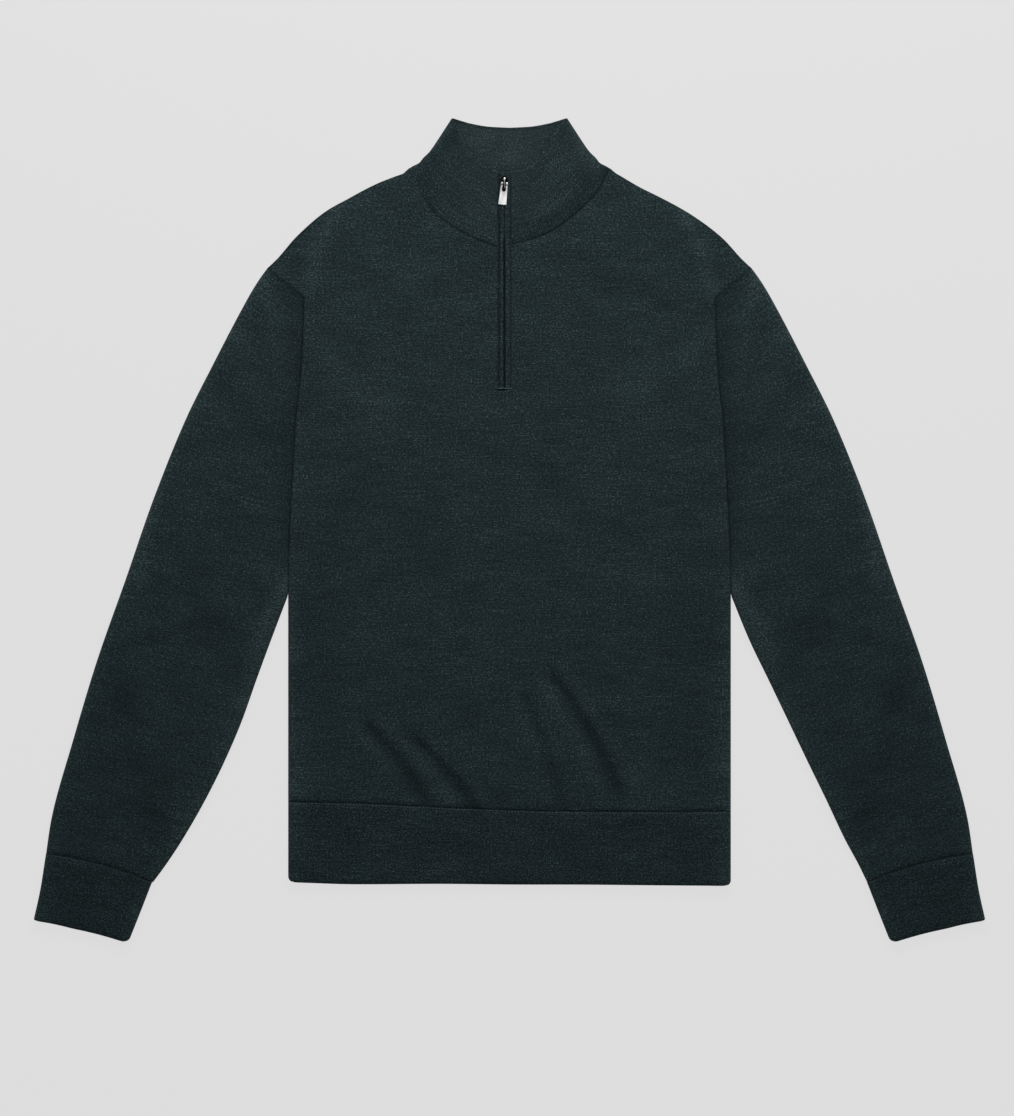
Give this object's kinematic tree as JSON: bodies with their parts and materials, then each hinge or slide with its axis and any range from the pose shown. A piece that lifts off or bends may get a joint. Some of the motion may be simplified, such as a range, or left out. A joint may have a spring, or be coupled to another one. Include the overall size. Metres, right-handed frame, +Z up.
{
  "type": "quarter zip sweater",
  "caption": "Fine wool sweater with a mock neck and a covered quarter zip, laid flat with its arms beside it; the zip's pull tab turns on its slider.",
  "frame": {"origin": "on the surface that the garment lies on, below the middle of its outline", "axes": "+X across the front towards the wearer's left sleeve, +Y from hem to collar, +Z up from the surface out of the front"},
  "size_m": [0.9334, 0.8048, 0.0135],
  "materials": {
    "wool_jersey": "fine heathered wool jersey, matte",
    "double_knit": "doubled smooth knit of the same wool, matte",
    "strip_knit": "narrow knitted binding, stitched, matte",
    "zip_teeth": "dark moulded coil",
    "slider_metal": "dark plated die cast zinc, satin",
    "pull_metal": "bright nickel plated zinc, lightly brushed"
  },
  "bodies": {
    "garment": {"back": "wool_jersey", "front": "wool_jersey", "sleeve_right": "wool_jersey", "sleeve_left": "wool_jersey", "collar": "double_knit", "hem_band": "double_knit", "cuff_right": "double_knit", "cuff_left": "double_knit", "zip_strip_right": "strip_knit", "zip_strip_left": "strip_knit", "zip_chain": "zip_teeth", "slider_body": "slider_metal", "slider_bridge": "pull_metal"},
    "pull": {"pull_tab": "pull_metal"}
  },
  "joints": [
    {"name": "pull_hinge", "type": "hinge", "parent": "garment", "child": "pull", "pos_m": [-0.0049, 0.338, 0.01225], "axis": [-0.9945, 0.1045, 0], "range_deg": [0, 155]}
  ]
}
